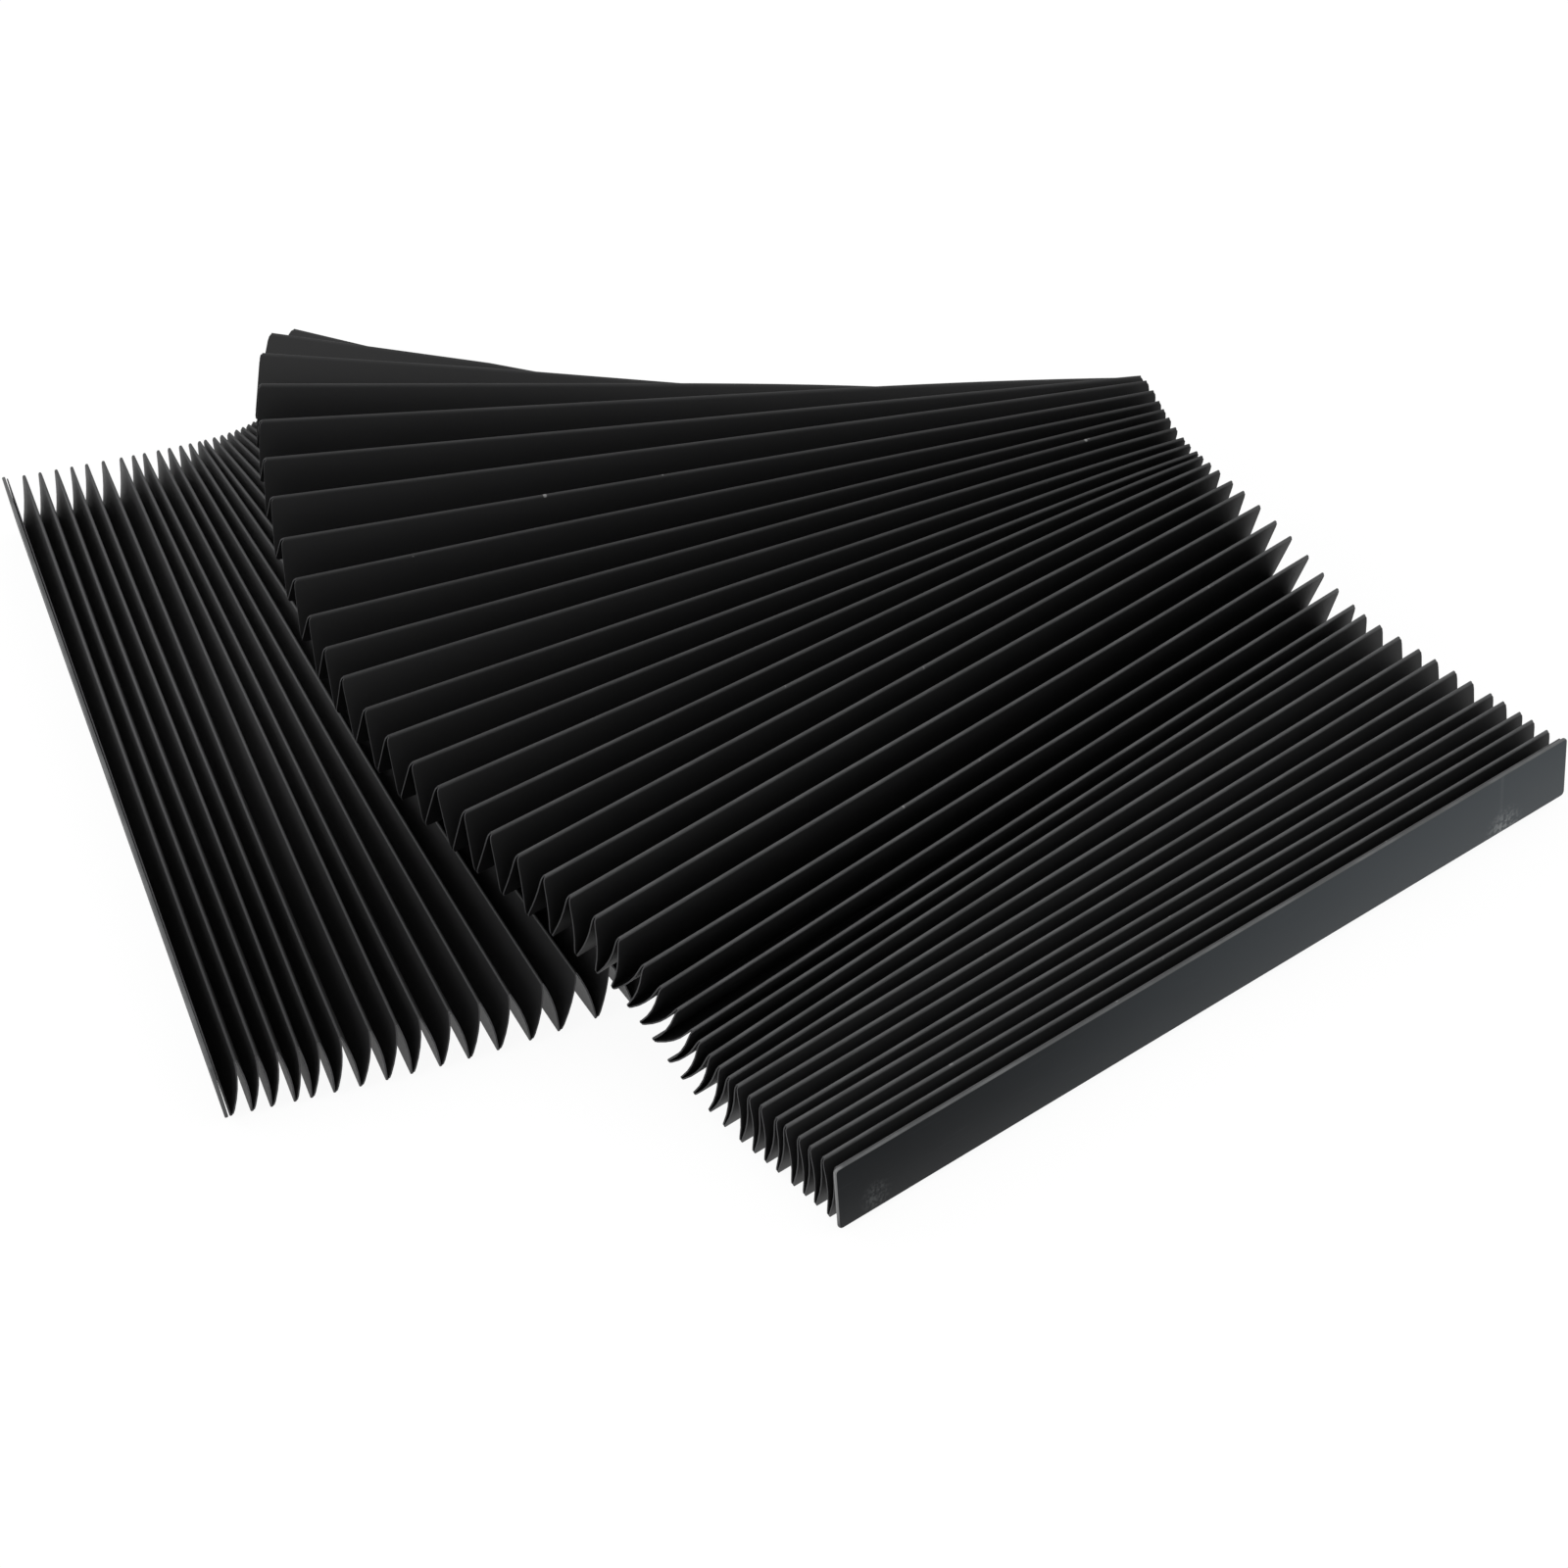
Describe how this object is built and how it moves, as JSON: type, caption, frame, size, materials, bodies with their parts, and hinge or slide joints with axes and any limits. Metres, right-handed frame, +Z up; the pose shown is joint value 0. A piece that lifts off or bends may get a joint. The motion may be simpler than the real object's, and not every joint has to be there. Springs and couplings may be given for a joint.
{
  "type": "bellows way cover",
  "caption": "Flat folding bellows that covers a machine's slideway: a long pleated sheet with a thin plate on each end, lying loosely in a loop over itself.",
  "frame": {"origin": "bottom centre of the bounding box of the whole cover as it lies", "axes": "+Z up from the surface it lies on, +X along the front end plate to its right end, +Y from the front end plate back along the pleats"},
  "size_m": [0.5602, 0.5756, 0.1081],
  "materials": {
    "sheet": "satin coated sheet, worn a little paler along the folds",
    "plate": "smooth satin"
  },
  "bodies": {
    "cover": {"pleated_cover": "sheet", "rear_end_plate": "plate"},
    "front_plate": {"front_end_plate": "plate"}
  },
  "joints": [
    {"name": "front_plate_travel", "type": "slide", "parent": "cover", "child": "front_plate", "axis": [0, -1, 0], "range_m": [-0.03, 0.12], "deforming": ["pleated_cover"]}
  ]
}
